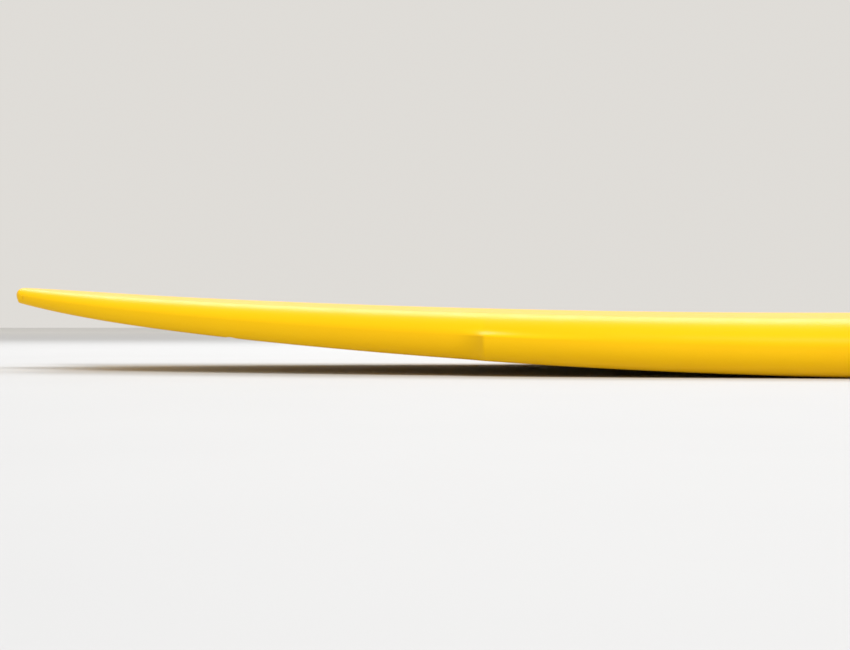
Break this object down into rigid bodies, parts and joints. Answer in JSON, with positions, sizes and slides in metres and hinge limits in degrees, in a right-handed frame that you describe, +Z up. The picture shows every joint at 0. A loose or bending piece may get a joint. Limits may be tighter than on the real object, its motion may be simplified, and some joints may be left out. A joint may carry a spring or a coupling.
{
  "type": "surfboard",
  "caption": "Yellow swallow-tail surfboard with a wing step in its outline, a stringered foam core, empty fin boxes with grub screws and a leash plug.",
  "frame": {"origin": "middle of the bounding box in plan, at the height of the lowest point of the bottom", "axes": "+X to the nose, +Y to the left rail for a rider facing the nose, +Z up out of the deck"},
  "size_m": [1.981, 0.533, 0.1379],
  "materials": {
    "deck_glass": "opaque yellow polyester laminate, sanded to a satin sheen",
    "bottom_glass": "opaque yellow polyester laminate, sanded to a satin sheen",
    "foam": "closed-cell polyurethane foam, shaped and sanded",
    "stringer_wood": "bare basswood",
    "box_plastic": "moulded, sanded flush with the bottom",
    "plug_plastic": "moulded",
    "steel": "plain stainless"
  },
  "bodies": {
    "board": {"deck_laminate": "deck_glass", "bottom_laminate": "bottom_glass", "foam_core_left": "foam", "foam_core_right": "foam", "stringer": "stringer_wood", "fin_box_centre": "box_plastic", "fin_box_rear_left": "box_plastic", "fin_box_rear_right": "box_plastic", "fin_box_front_left": "box_plastic", "fin_box_front_right": "box_plastic", "leash_plug_cup": "plug_plastic", "leash_plug_bar": "steel"},
    "fin_screw_centre": {"fin_screw_centre": "steel"},
    "fin_screw_rear_left": {"fin_screw_rear_left": "steel"},
    "fin_screw_rear_right": {"fin_screw_rear_right": "steel"},
    "fin_screw_front_left": {"fin_screw_front_left": "steel"},
    "fin_screw_front_right": {"fin_screw_front_right": "steel"}
  },
  "joints": [
    {"name": "fin_screw_centre_drive", "type": "slide", "parent": "board", "child": "fin_screw_centre", "axis": [-0.3907, 0, 0.9205], "range_m": [-0.0015, 0.003]},
    {"name": "fin_screw_rear_left_drive", "type": "slide", "parent": "board", "child": "fin_screw_rear_left", "axis": [-0.3978, 0.0131, 0.9174], "range_m": [-0.0015, 0.003]},
    {"name": "fin_screw_rear_right_drive", "type": "slide", "parent": "board", "child": "fin_screw_rear_right", "axis": [-0.3978, -0.0131, 0.9174], "range_m": [-0.0015, 0.003]},
    {"name": "fin_screw_front_left_drive", "type": "slide", "parent": "board", "child": "fin_screw_front_left", "axis": [-0.4192, 0.0218, 0.9076], "range_m": [-0.0015, 0.003]},
    {"name": "fin_screw_front_right_drive", "type": "slide", "parent": "board", "child": "fin_screw_front_right", "axis": [-0.4192, -0.0218, 0.9076], "range_m": [-0.0015, 0.003]}
  ]
}
